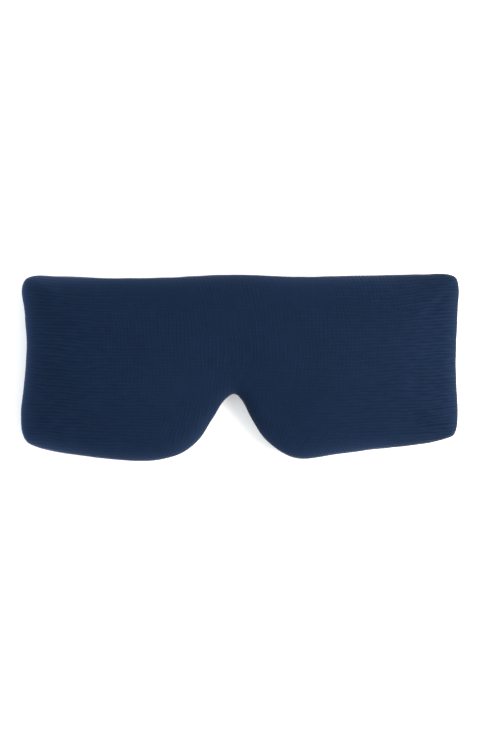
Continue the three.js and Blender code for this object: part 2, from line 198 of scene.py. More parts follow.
class Patch:
    """A grid of points that fills the outline, drawn in from it by inset: xy[column, row]."""

    def __init__(self, inset, ends, step):
        columns = stations(BOTTOM.length, ends, step)
        rows = stations(LEFT.length, ends, step) / LEFT.length
        self.u, self.v = columns / BOTTOM.length, rows
        bottom = BOTTOM.by_length(columns)
        u = (bottom[0][:, 0] - bottom[0][0, 0]) / (bottom[0][-1, 0] - bottom[0][0, 0])
        top = TOP.by_x(TOP.points[0, 0] + u * (TOP.points[-1, 0] - TOP.points[0, 0]))
        left, right = LEFT.by_length(rows * LEFT.length), RIGHT.by_length(rows * RIGHT.length)
        self.sides = [bottom, right, top, left]
        self.shape = (len(columns), len(rows))
        b, r, t, l = (p + n * inset for p, n in self.sides)
        v = rows[None, :, None]
        u = ((b[:, 0] - b[0, 0]) / (b[-1, 0] - b[0, 0]))[:, None, None]
        upright = (1 - v) * b[:, None] + v * t[:, None]
        across = (1 - u) * l[None] + u * r[None]
        corners = (1 - v) * ((1 - u) * b[0] + u * b[-1]) + v * ((1 - u) * t[0] + u * t[-1])
        self.xy = upright + across - corners
        self.distance = edge_distance(self.xy.reshape(-1, 2)).reshape(self.shape)

    def index(self):
        return np.arange(self.shape[0] * self.shape[1]).reshape(self.shape)

    def quads(self, facing_up=True):
        q = grid_quads(self.index())
        return q if facing_up else q[:, ::-1]

    def border(self):
        """Grid indices round the patch, anticlockwise, and the outline's point and inward normal at each."""
        b, r, t, l = self.sides
        points = np.concatenate([b[0][:-1], r[0][:-1], t[0][:0:-1], l[0][:0:-1]])
        normals = np.concatenate([b[1][:-1], r[1][:-1], t[1][:0:-1], l[1][:0:-1]])
        return grid_ring(self.index()), points, normals


# ---------------- mesh helpers


def put(name, verts, faces, material, uv=None, body=None, smooth=True, sharp_deg=None):
    """A mesh object from millimetre points, with an optional millimetre cloth map, riding on a body."""
    mesh = bpy.data.meshes.new(name)
    mesh.from_pydata((np.asarray(verts, float) * MM).tolist(), [], [list(map(int, f)) for f in faces])
    mesh.validate()
    if uv is not None:
        layer = mesh.uv_layers.new(name="cloth")
        corners = np.empty(len(mesh.loops), int)
        mesh.loops.foreach_get("vertex_index", corners)
        layer.data.foreach_set("uv", np.asarray(uv, np.float32)[corners].ravel())
    mesh.polygons.foreach_set("use_smooth", np.full(len(mesh.polygons), smooth))
    if sharp_deg:
        mesh.set_sharp_from_angle(angle=math.radians(sharp_deg))
    mesh.materials.append(material)
    obj = bpy.data.objects.new(name, mesh)
    bpy.context.scene.collection.objects.link(obj)
    if body:
        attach(obj, body)
    return obj


def ring_faces(a, b):
    """Quads between two closed rings of indices."""
    a, b = np.asarray(a), np.asarray(b)
    return np.stack([a, np.roll(a, -1), np.roll(b, -1), b], 1)


def wobble(points, scale, seed):
    """Smooth noise, about -1 to 1, at 3-D points in millimetres."""
    shift = Vector((seed * 17.3, seed * 5.1, seed * 29.7))
    return np.array([noise.noise(Vector(p) / scale + shift) for p in np.asarray(points, float)])


# ---------------- materials


class Nodes:
    """A small helper for building one procedural material."""

    def __init__(self, name, roughness, **constants):
        self.material = bpy.data.materials.new(name)
        self.material.use_nodes = True
        self.tree = self.material.node_tree
        self.shader = self.tree.nodes["Principled BSDF"]
        self.set("Roughness", roughness)
        for key, value in constants.items():
            self.set(key.replace("_", " "), value)

    def set(self, socket, value):
        self.shader.inputs[socket].default_value = value

    def node(self, kind, **values):
        made = self.tree.nodes.new(kind)
        for key, value in values.items():
            if hasattr(made, key):
                setattr(made, key, value)
            else:
                made.inputs[key].default_value = value
        return made

    def wire(self, source, target):
        self.tree.links.new(source, target)

    def fill(self, made, values):
        """Gives a node its inputs in order, as numbers or wires."""
        for k, value in enumerate(values):
            if isinstance(value, (int, float)):
                made.inputs[k].default_value = value
            else:
                self.wire(value, made.inputs[k])
        return made.outputs[0]

    def math(self, operation, *values):
        return self.fill(self.node("ShaderNodeMath", operation=operation), values)

    def times(self, a, b):
        return self.math("MULTIPLY", a, b)

    def scaled(self, value, by, plus):
        return self.math("MULTIPLY_ADD", value, by, plus)

    def cloth(self):
        """The cloth map's two coordinates, in millimetres."""
        uv = self.node("ShaderNodeUVMap", uv_map="cloth")
        parts = self.node("ShaderNodeSeparateXYZ")
        self.wire(uv.outputs[0], parts.inputs[0])
        return parts.outputs[0], parts.outputs[1]

    def place(self):
        return self.node("ShaderNodeTexCoord").outputs["Object"]

    def noise(self, vector, scale, detail=2.0, roughness=0.5):
        made = self.node("ShaderNodeTexNoise")
        made.inputs["Scale"].default_value = scale
        made.inputs["Detail"].default_value = detail
        made.inputs["Roughness"].default_value = roughness
        self.wire(vector, made.inputs["Vector"])
        return made.outputs["Fac"]

    def cloud(self, u, u_scale, v, v_scale, z, detail, roughness=0.5):
        """Noise over the cloth map, scaled by its own number along each direction."""
        scaled = (self.times(u, u_scale), self.times(v, v_scale), z)
        return self.noise(self.fill(self.node("ShaderNodeCombineXYZ"), scaled), 1.0, detail, roughness)

    def sine(self, value, period, phase=0.0):
        return self.math("SINE", self.scaled(value, 2 * math.pi / period, phase))

    def colour(self, factor, low, high, low_at=0.0, high_at=1.0):
        ramp = self.node("ShaderNodeValToRGB")
        first, last = ramp.color_ramp.elements
        first.position, last.position = low_at, high_at
        first.color, last.color = (*low, 1), (*high, 1)
        self.wire(factor, ramp.inputs[0])
        return ramp.outputs[0]

    def bump(self, height, distance_mm, strength=1.0, under=None):
        made = self.node("ShaderNodeBump")
        made.inputs["Strength"].default_value = strength
        made.inputs["Distance"].default_value = distance_mm * MM
        self.wire(height, made.inputs["Height"])
        if under is not None:
            self.wire(under, made.inputs["Normal"])
        return made.outputs[0]

    def finish(self, colour, normal=None, roughness=None):
        self.wire(colour, self.shader.inputs["Base Color"])
        if normal is not None:
            self.wire(normal, self.shader.inputs["Normal"])
        if roughness is not None:
            self.wire(roughness, self.shader.inputs["Roughness"])
        return self.material


def linear(r, g, b):
    """A colour given in the usual 0 to 255 screen values."""
    shares = (v / 255 for v in (r, g, b))
    return tuple(v / 12.92 if v <= 10 / 255 else ((v + 0.055) / 1.055) ** 2.4 for v in shares)


def shade(colour, k):
    return tuple(v * k for v in colour)


NAVY = linear(13, 26, 46)
COURSE = 1.65  # mm from one knitted rib to the next
STITCH = 0.82
PAINTED_RIM_HIGHLIGHT = linear(37, 53, 81)  # painted highlight: the paler colour the knit is mixed towards along the pad's rim, standing in for its sheen glow


def knit(name, colour, rib_depth, contrast):
    """Fine rib knit: horizontal courses, upright wales and small stitches, with a softly brushed face, and a
    painted highlight along the pad's rim.
    """
    n = Nodes(name, 0.95, Sheen_Weight=0.3, Sheen_Roughness=0.3, Specular_IOR_Level=0.04)
    n.set("Sheen Tint", (0.72, 0.8, 1.0, 1))
    u, v = n.cloth()
    drift = n.cloud(u, 0.03, v, 0.05, 0.0, 2.0)
    end = n.math("MAXIMUM", n.math("SUBTRACT", n.math("ABSOLUTE", u), 45.0), 0.0)
    bowed = n.scaled(n.times(end, end), -0.0007, v)
    row = n.scaled(drift, 4.0, bowed)
    high = n.math("SUBTRACT", v, 6.0)
    leaning = n.scaled(n.times(high, high), 0.0045, u)
    column = n.scaled(drift, 5.0, leaning)
    courses = n.sine(row, COURSE)
    wales = n.sine(column, COURSE * 1.12)
    # Courses show most towards both ends, and wales in drifting patches between them.
    pulled = n.math("POWER", n.math("MINIMUM", n.times(n.math("ABSOLUTE", u), 0.0105), 1.0), 2.5)
    ends_weight = n.scaled(pulled, 1.15, 0.3)
    middle_weight = n.scaled(pulled, -0.85, 0.95)
    relaxed = n.cloud(u, 0.022, v, 0.03, 7.0, 1.0)
    middle_weight = n.times(middle_weight, n.scaled(relaxed, 1.9, -0.45))
    ribs = n.math("ADD", n.times(courses, ends_weight), n.times(wales, middle_weight))
    stitches = n.times(n.sine(row, STITCH, 0.8), n.sine(column, STITCH))
    fuzz = n.cloud(u, 4.0, v, 4.0, 0.0, 3.0, 0.7)
    height = n.scaled(stitches, 0.55, ribs)
    height = n.scaled(fuzz, 0.8, height)
    patchy = n.cloud(u, 0.045, v, 0.06, 3.0, 3.0)
    tone = n.scaled(ribs, contrast, n.scaled(patchy, 0.35, 0.3))
    tone = n.scaled(fuzz, 0.12, tone)
    # Yarns of slightly different shades make short streaks along the courses and the wales.
    along = n.cloud(u, 0.15, row, 0.62, 5.0, 2.0)
    up = n.cloud(column, 0.55, v, 0.14, 9.0, 2.0)
    streaks = n.times(n.math("SUBTRACT", along, 0.5), ends_weight)
    streaks = n.scaled(n.math("SUBTRACT", up, 0.5), middle_weight, streaks)
    tone = n.scaled(streaks, 1.05, tone)
    # Painted highlight: along the rim the colour is mixed towards a paler one, standing in for the sheen glow
    # at the grazing edge.
    rim_highlight_share = n.node("ShaderNodeAttribute", attribute_name="rim").outputs["Fac"]
    rim_highlight_mix = n.node("ShaderNodeMix", data_type="RGBA")
    n.wire(n.times(rim_highlight_share, n.scaled(fuzz, 0.5, 0.75)), rim_highlight_mix.inputs["Factor"])
    n.wire(n.colour(tone, shade(colour, 0.72), shade(colour, 1.28)), rim_highlight_mix.inputs[6])
    rim_highlight_mix.inputs[7].default_value = (*PAINTED_RIM_HIGHLIGHT, 1)
    return n.finish(rim_highlight_mix.outputs[2], n.bump(height, rib_depth, 0.8))


def woven(name, colour, pitch, depth, roughness=0.85, sheen=0.3, vary=0.2, gloss=0.08):
    """Close ribs along the strip, crossed by fine weft threads. The cloth map's u runs across, v along."""
    n = Nodes(name, roughness, Sheen_Weight=sheen, Sheen_Roughness=0.3, Specular_IOR_Level=gloss)
    u, v = n.cloth()
    across = n.math("ABSOLUTE", n.sine(u, 2 * pitch))
    flip = n.math("SIGN", n.sine(u, 2 * pitch))
    weft = n.sine(n.scaled(flip, 0.28 * pitch, v), 0.55)
    fuzz = n.cloud(u, 3.0, v, 3.0, 0.0, 3.0, 0.7)
    height = n.scaled(weft, 0.3, n.scaled(fuzz, 0.3, across))
    patchy = n.cloud(u, 0.1, v, 0.04, 0.0, 2.0)
    tone = n.scaled(across, 0.35, n.times(patchy, 0.4))
    tone = n.scaled(weft, 0.1, tone)
    return n.finish(
        n.colour(tone, shade(colour, 1 - 1.6 * vary), shade(colour, 1 + vary), 0.1, 0.8),
        n.bump(height, depth, 0.7),
    )


def thread(name, colour):
    """Twisted sewing thread."""
    n = Nodes(name, 0.7, Sheen_Weight=0.2, Specular_IOR_Level=0.35)
    u, v = n.cloth()
    twist = n.sine(n.math("ADD", n.times(u, 0.8), v), 0.35)
    tone = n.scaled(twist, 0.35, n.noise(n.place(), 900.0))
    return n.finish(n.colour(tone, shade(colour, 0.65), shade(colour, 1.3)), n.bump(twist, 0.05, 0.8))


def speckled(name, colour, cell_mm, depth, roughness, sheen=0.0, swing=0.2, flow=(1, 1, 1)):
    """Foam, fibre, brushed loops and the like: cells of one size, in the piece's own coordinates."""
    n = Nodes(name, roughness, Sheen_Weight=sheen, Specular_IOR_Level=0.25)
    stretch = n.node("ShaderNodeVectorMath", operation="MULTIPLY")
    stretch.inputs[1].default_value = flow
    n.wire(n.place(), stretch.inputs[0])
    cells = n.node("ShaderNodeTexVoronoi", feature="F1")
    cells.inputs["Scale"].default_value = 1 / (cell_mm * MM)
    n.wire(stretch.outputs[0], cells.inputs["Vector"])
    clumps = n.noise(stretch.outputs[0], 0.2 / (cell_mm * MM), 3.0)
    tone = n.scaled(cells.outputs["Distance"], 0.6, n.times(clumps, 0.6))
    return n.finish(
        n.colour(tone, shade(colour, 1 - swing), shade(colour, 1 + swing * 0.6), 0.1, 0.9),
        n.bump(tone, depth, 0.8),
    )


COVER_KNIT = knit("cover_knit", NAVY, 0.07, 0.18)
BACK_KNIT = knit("back_knit", shade(NAVY, 0.92), 0.07, 0.08)
LINER_CLOTH = woven("liner_cloth", linear(38, 39, 43), 0.3, 0.05, 0.8, 0.1)
FOAM = speckled("foam", linear(216, 212, 198), 0.9, 0.4, 0.95)
FIBRE = speckled("fibre", linear(240, 239, 235), 1.6, 0.6, 1.0, 0.3, 0.12, (1, 4, 2))
THREAD = thread("thread", linear(22, 38, 66))
ELASTIC_CLOTH = woven("elastic", linear(19, 33, 56), 1.0, 0.12, 0.85, 0.2, 0.22)
BINDING_CLOTH = woven("binding_tape", linear(17, 30, 53), 0.55, 0.1, 0.8, 0.2)
LOOP_PILE = speckled("loop_pile", linear(16, 28, 49), 0.45, 0.3, 0.95, 0.25, 0.45)
HOOK_PLASTIC = speckled("hook_plastic", linear(17, 28, 49), 0.5, 0.06, 0.45, 0.0, 0.2)
LABEL_SATIN = woven("label_satin", linear(225, 222, 213), 0.22, 0.03, 0.45, 0.15, 0.06, 0.4)

# ---------------- the pad

FINE_ENDS = [0, 0.15, 0.6, 1.3, 2.3, 3.5, 4.9, 6.5]


def quarter_round(share):
    return np.sqrt(np.maximum(0, 1 - (1 - np.minimum(1, share)) ** 2))


def smooth(share):
    t = np.clip(share, 0, 1)
    return t * t * (3 - 2 * t)


class Crown:
    """The filling's swell over a flat pad.

    It is a membrane held at the outline under even pressure, flattened on top.
    """

    CELL = 2.0
    X = np.arange(-112, 112.1, CELL)
    Y = np.arange(-50, 50.1, CELL)
    PASSES = 2500

    def __init__(self):
        gx, gy = np.meshgrid(self.X, self.Y, indexing="ij")
        xy = np.column_stack([gx.ravel(), gy.ravel()])
        inside = inside_outline(xy).reshape(gx.shape)
        h = np.zeros(gx.shape)
        for _ in range(self.PASSES):
            h[1:-1, 1:-1] = (h[2:, 1:-1] + h[:-2, 1:-1] + h[1:-1, 2:] + h[1:-1, :-2]) / 4 + 1
            h *= inside
        self.h = h / h.max()

    def __call__(self, xy):
        fx = np.clip((xy[:, 0] - self.X[0]) / self.CELL, 0, len(self.X) - 1.001)
        fy = np.clip((xy[:, 1] - self.Y[0]) / self.CELL, 0, len(self.Y) - 1.001)
        i, j = fx.astype(int), fy.astype(int)
        a, b = fx - i, fy - j
        h = self.h
        low = h[i, j] * (1 - a) + h[i + 1, j] * a
        high = h[i, j + 1] * (1 - a) + h[i + 1, j + 1] * a
        return CROWN * (low * (1 - b) + high * b) ** CROWN_FLATNESS


def inside_outline(xy):
    """Whether each point is inside the outline, by counting crossings."""
    a, b = OUTLINE, np.roll(OUTLINE, -1, 0)
    found = np.zeros(len(xy), bool)
    for (ax, ay), (bx, by) in zip(a, b):
        if ay == by:
            continue
        across = (ay > xy[:, 1]) != (by > xy[:, 1])
        found ^= across & (xy[:, 0] < ax + (xy[:, 1] - ay) * (bx - ax) / (by - ay))
    return found


crown = Crown()


def drawn_height(patch, swell=1.0):
    """The front surface's height over a patch, as drawn, or with only some of its swell."""
    over = crown(patch.xy.reshape(-1, 2)).reshape(patch.shape)
    return EDGE_Z + (SIDE_RISE + over * swell) * quarter_round(patch.distance / FRONT_ROUND)


def cubic(at, knots, values):
    """Smooth interpolation of rows of values, given at knots."""
    slopes = np.gradient(values, knots, axis=0)
    k = np.clip(np.searchsorted(knots, at) - 1, 0, len(knots) - 2)
    width = (knots[k + 1] - knots[k])[:, None]
    t = (at - knots[k])[:, None] / width
    rise = values[k + 1] - values[k]
    a, b = slopes[k] * width, slopes[k + 1] * width
    return values[k] + t * (a + t * (3 * rise - 2 * a - b + t * (a + b - 2 * rise)))


class Plumped:
    """How far the front panel moves from its drawn shape when the filling presses on it.

    A coarse copy of the panel, held at its edge, is simulated as cloth under pressure, at ten times real size.
    """

    SCALE = 0.01
    START = 0.3  # of the swell, which the pressure then makes up
    STRETCH = 0.005
    PRESSURE = 1.0
    FRAMES = 24
    MOST = 1.4  # mm from the drawn shape

    def __init__(self):
        self.patch = Patch(0, [0, 1.5, 3.6, 6.5], 3.0)
        self.lift = np.zeros(self.patch.shape)
        self.simulate()

    def simulate(self):
        patch = self.patch
        start = drawn_height(patch, self.START)
        top = np.column_stack([patch.xy.reshape(-1, 2), start.ravel()])
        bottom = top * [1, 1, 0] + [0, 0, BACK_Z]
        ring = patch.border()[0]
        faces = np.vstack([patch.quads(), patch.quads(False) + len(top), ring_faces(ring + len(top), ring)])
        mesh = bpy.data.meshes.new("pressed")
        mesh.from_pydata((np.vstack([top, bottom]) * self.SCALE).tolist(), [], faces.tolist())
        pad = bpy.data.objects.new("pressed", mesh)
        scene = bpy.context.scene
        scene.collection.objects.link(pad)
        held = pad.vertex_groups.new(name="held")
        held.add([*ring.tolist(), *range(len(top), 2 * len(top))], 1.0, "REPLACE")
        cloth = pad.modifiers.new("cloth", "CLOTH")
        cloth.point_cache.frame_end = self.FRAMES
        cloth.collision_settings.use_collision = False
        cloth.collision_settings.use_self_collision = False
        settings = cloth.settings
        settings.vertex_group_mass = "held"
        settings.quality = 8
        settings.mass = 0.3
        settings.tension_stiffness = settings.compression_stiffness = 25
        settings.shear_stiffness = 8
        settings.bending_stiffness = 0.6
        settings.air_damping = 4
        settings.shrink_min = self.STRETCH
        settings.use_pressure = True
        settings.uniform_pressure_force = self.PRESSURE
        settings.effector_weights.gravity = 0
        for step in range(1, self.FRAMES + 1):
            scene.frame_set(step)
        moved = pad.evaluated_get(bpy.context.evaluated_depsgraph_get()).data
        points = np.empty(len(moved.vertices) * 3)
        moved.vertices.foreach_get("co", points)
        pressed = points.reshape(-1, 3)[: len(top), 2].reshape(patch.shape) / self.SCALE
        lift = pressed - drawn_height(patch)
        self.lift = self.MOST * np.tanh(lift / self.MOST)
        bpy.data.objects.remove(pad)
        scene.frame_set(1)

    def __call__(self, patch):
        columns = cubic(patch.u, self.patch.u, self.lift)
        return cubic(patch.v, self.patch.v, columns.T).T


plumped = Plumped()


def notch_distance(xy):
    return np.hypot(xy[:, 0] - NOTCH_TIP[0], xy[:, 1] - NOTCH_TIP[1])


def front_height(patch):
    """The front surface's height over a patch, pressed out by the filling, and uneven as the filling is."""
    z = drawn_height(patch) + plumped(patch)
    xy = patch.xy.reshape(-1, 2)
    verts = np.column_stack([xy, z.ravel()])
    d = patch.distance.ravel()
    # The filling is a little uneven, and the knit is drawn tight over the notch.
    tight = np.exp(-notch_distance(xy) / 16)
    lift = 0.35 * wobble(verts, 26, 1) + 0.22 * wobble(verts, 11, 2) * np.exp(-d / 9)
    angle = np.arctan2(xy[:, 1] - NOTCH_TIP[1], xy[:, 0] - NOTCH_TIP[0])
    folds = np.sin(angle * 9 + 0.8) * tight * smooth(d / 3) * 0.14
    return z + (lift * smooth(d / 5) + folds).reshape(z.shape)


def cloth_map(patch, z):
    """Millimetres along the fabric at each grid point.

    Up is measured along the cloth from the middle row. Across is mostly the plain distance from the middle.
    """
    columns, rows = patch.shape
    xyz = np.dstack([patch.xy, z])
    steps = np.linalg.norm(np.diff(xyz, axis=0), axis=2)
    across = np.concatenate([[np.zeros(rows)], np.cumsum(steps, 0)])
    middle = np.argmin(np.abs(patch.xy[:, rows // 2, 0]))
    across = across - across[middle]
    steps = np.linalg.norm(np.diff(xyz, axis=1), axis=2)
    up = np.concatenate([np.zeros((columns, 1)), np.cumsum(steps, 1)], 1)
    every, middle = np.arange(columns), np.argmin(np.abs(patch.xy[:, :, 1]), axis=1)
    start = patch.xy[every, middle, 1] - up[every, middle]
    return np.dstack([across * 0.15 + patch.xy[:, :, 0] * 0.85, up + start[:, None]]).reshape(-1, 2)


def front_cover():
    """The front panel with its turned edge: a knitted shell that ends in the seam's groove on the back.

    It returns the panel's face, for the layers under it.
    """
    patch = Patch(0, FINE_ENDS, 1.5)
    z = front_height(patch)
    verts = np.column_stack([patch.xy.reshape(-1, 2), z.ravel()])
    face = BVHTree.FromPolygons(verts.tolist(), patch.quads().tolist())
    uv = cloth_map(patch, z)
    faces = [patch.quads()]

    ring, points, normals = patch.border()
    turn = np.radians([18, 38, 58, 76])
    insets = [*(SIDE_DROP * (1 - np.cos(turn))), 2.5, 2.78, SEAM_INSET]
    heights = [*(EDGE_Z - SIDE_DROP * np.sin(turn)), BACK_Z + 0.02, BACK_Z + 0.22, BACK_Z + 0.9]
    last, travelled = ring, 0.0
    before = (0.0, EDGE_Z)
    for inset, height in zip(insets, heights):
        new = np.arange(len(ring)) + len(verts)
        travelled += math.hypot(inset - before[0], height - before[1])
        before = (inset, height)
        verts = np.vstack([verts, np.column_stack([points + normals * inset, np.full(len(ring), height)])])
        uv = np.vstack([uv, uv[ring] - normals * travelled])
        faces.append(ring_faces(new, last))
        last = new
    # Small puckers run in from the edge, where the seam gathers the knit.
    side = np.exp(-((verts[:, 2] - EDGE_Z) / 5) ** 2) * np.exp(-edge_distance(verts[:, :2]) / 3)
    out = np.zeros((len(verts), 2))
    out[ring] = -normals
    out[patch.distance.size:] = np.tile(-normals, (len(insets), 1))
    verts[:, :2] += out * (0.3 * wobble(verts, 9, 3) * side)[:, None]

    cover = put("front_panel", verts, np.vstack(faces), COVER_KNIT, uv, "mask")
    # The "rim" attribute holds a painted highlight along the edge, standing in for the sheen glow there; the
    # knit material reads it.
    rim = cover.data.attributes.new("rim", "FLOAT", "POINT")
    painted_rim_highlight = np.exp(-edge_distance(verts[:, :2]) / 2.6) * smooth((verts[:, 2] - BACK_Z) / 2.4)
    # The painted rim highlight is strongest at the left end and weakest at the right, and it fades out round
    # the notch.
    painted_rim_highlight *= 0.6 + 0.45 * smooth((-verts[:, 0] - 60) / 35) - 0.4 * smooth((verts[:, 0] - 60) / 35)
    rim.data.foreach_set("value", painted_rim_highlight * (1 - 0.8 * np.exp(-((notch_distance(verts) / 26) ** 2))))
    shell = cover.modifiers.new("thickness", "SOLIDIFY")
    shell.thickness, shell.offset = FRONT_THICKNESS * MM, -1
    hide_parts("front_cover")
    return face


def back_cover():
    """The skin-side panel: flat where the face meets it, dipping into the seam's groove all round."""
    first = SEAM_INSET + 0.06
    patch = Patch(first, [0, 0.12, 0.35, 0.8, 1.6, 2.8, 4.4, 6.5], 1.8)
    d = (patch.distance - first).ravel()
    xy = patch.xy.reshape(-1, 2)
    z = BACK_Z + 1.1 * np.exp(-np.maximum(d, 0) / 0.3)
    verts = np.column_stack([xy, z])
    puckers = wobble(verts, 4.5, 5) * np.exp(-np.maximum(d, 0) / 4) * smooth(d / 0.8)
    verts[:, 2] += 0.16 * puckers + 0.1 * wobble(verts, 22, 6) * smooth(d / 6)
    uv = cloth_map(patch, z.reshape(patch.shape))
    cover = put("back_panel", verts, patch.quads(False), BACK_KNIT, uv, "mask")
    shell = cover.modifiers.new("thickness", "SOLIDIFY")
    shell.thickness, shell.offset = BACK_THICKNESS * MM, -1
    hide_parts("back_cover")


def slab(name, node, patch, low, high, material, rounding=0.6):
    """A closed piece between two heights over a patch, its rim drawn in a little at top and bottom."""
    count = patch.shape[0] * patch.shape[1]
    xy = patch.xy.reshape(-1, 2)
    verts = np.vstack([np.column_stack([xy, high.ravel()]), np.column_stack([xy, low.ravel()])])
    ring, _, normals = patch.border()
    middle = np.arange(len(ring)) + 2 * count
    rim = np.column_stack([xy[ring] - normals * rounding, (high.ravel()[ring] + low.ravel()[ring]) / 2])
    verts = np.vstack([verts, rim])
    faces = [patch.quads(), patch.quads(False) + count]
    faces += [ring_faces(middle, ring), ring_faces(ring + count, middle)]
    uv = np.vstack([xy, xy, rim[:, :2]])
    made = put(name, verts, np.vstack(faces), material, uv, "mask", sharp_deg=50)
    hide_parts(node)
    return made


def height_under(face, patch, depth):
    """Heights over a patch, a given depth under the front panel, and deeper where it turns down steeply."""
    down = Vector((0, 0, -1))
    hits = [face.ray_cast(Vector((x, y, 100)), down)[0].z for x, y in patch.xy.reshape(-1, 2)]
    return np.array(hits).reshape(patch.shape) - depth - 1.6 * np.exp(-patch.distance / 3)


def inner_pieces(face):
    """What the covers enclose: a foam core, fibre wadding over it and the blackout liner over that."""
    patch = Patch(4.0, [0, 1.2, 3.2, 6.5], 3.0)
    flat = np.column_stack([patch.xy.reshape(-1, 2), np.zeros(patch.distance.size)])
    bumps = 0.12 * wobble(flat, 7, 11).reshape(patch.shape)
    low = np.full(patch.shape, FOAM_LOW)
    core = slab("foam_insert", "foam_core", patch, low, low + FOAM_THICKNESS + bumps, FOAM)

    patch = Patch(4.0, [0, 0.8, 2.4, 5.0], 2.4)
    tufts = wobble(np.column_stack([patch.xy.reshape(-1, 2), patch.distance.ravel()]), 5, 12)
    tufts = 0.2 * tufts.reshape(patch.shape) * smooth(patch.distance / 8 - 0.4)
    bottom = np.full(patch.shape, WADDING_LOW)
    top = np.maximum(height_under(face, patch, WADDING_DEPTH) + tufts, bottom + 0.3)
    fill = slab("wadding_fill", "fibre_wadding", patch, bottom, top, FIBRE, 0.3)

    patch = Patch(2.2, [0, 0.8, 2.4, 5.0], 2.4)
    top = height_under(face, patch, LINER_DEPTH)
    low = top - LINER_THICKNESS
    liner = slab("liner_sheet", "blackout_liner", patch, low, top, LINER_CLOTH, 0.0)


front_face = front_cover()
back_cover()
inner_pieces(front_face)

# ---------------- threads, hooks and loops


class Soup:
    """Many small tubes collected into one mesh."""

    def __init__(self):
        self.verts, self.faces, self.uv, self.count = [], [], [], 0

    def tube(self, path, radii, up, sides=6):
        path = np.asarray(path, float)
        tangent = np.gradient(path, axis=0)
        tangent /= np.linalg.norm(tangent, axis=1)[:, None]
        side = np.cross(tangent, up)
        side /= np.maximum(np.linalg.norm(side, axis=1), 1e-9)[:, None]
        lift = np.cross(side, tangent)
        turn = np.arange(sides) * 2 * math.pi / sides
        round_ = np.cos(turn)[None, :, None] * side[:, None] + np.sin(turn)[None, :, None] * lift[:, None]
        rings = path[:, None] + round_ * np.broadcast_to(radii, len(path))[:, None, None]
        along = distances_along(path)
        self.uv.append(np.dstack(np.meshgrid(turn * 0.2, along)).reshape(-1, 2))
        k = np.arange(len(path) * sides).reshape(len(path), sides) + self.count
        for a, b in zip(k[:-1], k[1:]):
            self.faces += ring_faces(a, b).tolist()
        self.faces += [k[0][::-1].tolist(), k[-1].tolist()]
        self.verts.append(rings.reshape(-1, 3))
        self.count += len(path) * sides

    def stitch(self, a, b, normal, radius=0.17, rise=0.1, sink=0.16):
        """One stitch from hole to hole, lying on the cloth and diving in at both ends."""
        a, b, normal = np.asarray(a, float), np.asarray(b, float), np.asarray(normal, float)
        shares = np.array([0, 0.1, 0.3, 0.5, 0.7, 0.9, 1])
        lifts = np.array([-sink, 0.02, rise * 0.8, rise, rise * 0.8, 0.02, -sink])
        path = a + (b - a) * shares[:, None] + normal * lifts[:, None]
        self.tube(path, radius * np.array([0.7, 0.95, 1, 1, 1, 0.95, 0.7]), normal)

    def stitches(self, line, normal, pitch=STITCH_SPACING, gap=0.35, seed=0, **shape):
        """A row of stitches along a polyline."""
        line = np.asarray(line, float)
        along = distances_along(line)
        count = max(1, round(along[-1] / pitch))
        step = along[-1] / count
        rng = random.Random(seed)
        for k in range(count):
            shift = rng.uniform(-0.08, 0.08)
            ends = np.array([k * step + gap / 2, (k + 1) * step - gap / 2]) + shift
            a, b = (np.array([np.interp(e, along, line[:, axis]) for axis in range(3)]) for e in ends)
            self.stitch(a, b, normal, **shape)

    def put(self, name, material, body):
        return put(name, np.vstack(self.verts), self.faces, material, np.vstack(self.uv), body)


def seam_thread():
    """Slanted stitches that draw the two covers together in the groove on the back."""
    _, points, normals = Patch(0, FINE_ENDS, 1.5).border()
    points, normals = np.vstack([points, points[:1]]), np.vstack([normals, normals[:1]])
    line = points + normals * SEAM_INSET
    along = distances_along(line)

    def at(s, values):
        return np.array([np.interp(s % along[-1], along, values[:, k]) for k in (0, 1)])

    thread = Soup()
    count = int(along[-1] / STITCH_SPACING)
    for k in range(count):
        s = k * along[-1] / count
        n = at(s, normals)
        a, b = at(s - 0.6, line) - n * 0.5, at(s + 0.6, line) + n * 0.55
        thread.stitch((*a, BACK_Z + 0.12), (*b, BACK_Z + 0.14), (0, 0, -1), radius=0.19, rise=0.12, sink=0.3)
    made = thread.put("closing_stitches", THREAD, "mask")
    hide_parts("seam_thread")


seam_thread()


def care_label():
    """A blank satin label sewn in at the seam; its free end curls a little."""
    across, along = np.linspace(-7, 7, 15), np.linspace(0, 20, 25)
    gx, gs = np.meshgrid(across, along, indexing="ij")
    height = 7.4 - 0.95 * smooth(gs / 1.6) - 0.35 * smooth((gs - 11) / 9)
    height = height + 0.05 * np.sin(gx * 0.6 + gs * 0.25)
    # Its sewn end follows the slanting seam, and the rest hangs square.
    edge, inward = BOTTOM.by_x(LABEL_X + across)
    sewn = (edge + inward * (SEAM_INSET + 0.02))[:, 1][:, None]
    y = sewn.mean() + gs + (sewn - sewn.mean()) * np.exp(-gs / 9)
    top = np.column_stack([LABEL_X + gx.ravel(), y.ravel(), height.ravel()])
    bottom = top - [0, 0, 0.22]
    k = np.arange(gx.size).reshape(gx.shape)
    quads, ring = grid_quads(k), grid_ring(k)
    faces = np.vstack([quads, quads[:, ::-1] + gx.size, ring_faces(ring + gx.size, ring)])
    verts = np.vstack([top, bottom])
    uv = np.tile(np.column_stack([gx.ravel(), gs.ravel()]), (2, 1))
    made = put("blank_label", verts, faces, LABEL_SATIN, uv, "mask", sharp_deg=50)
    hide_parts("care_label")


care_label()

# ---------------- the strap halves

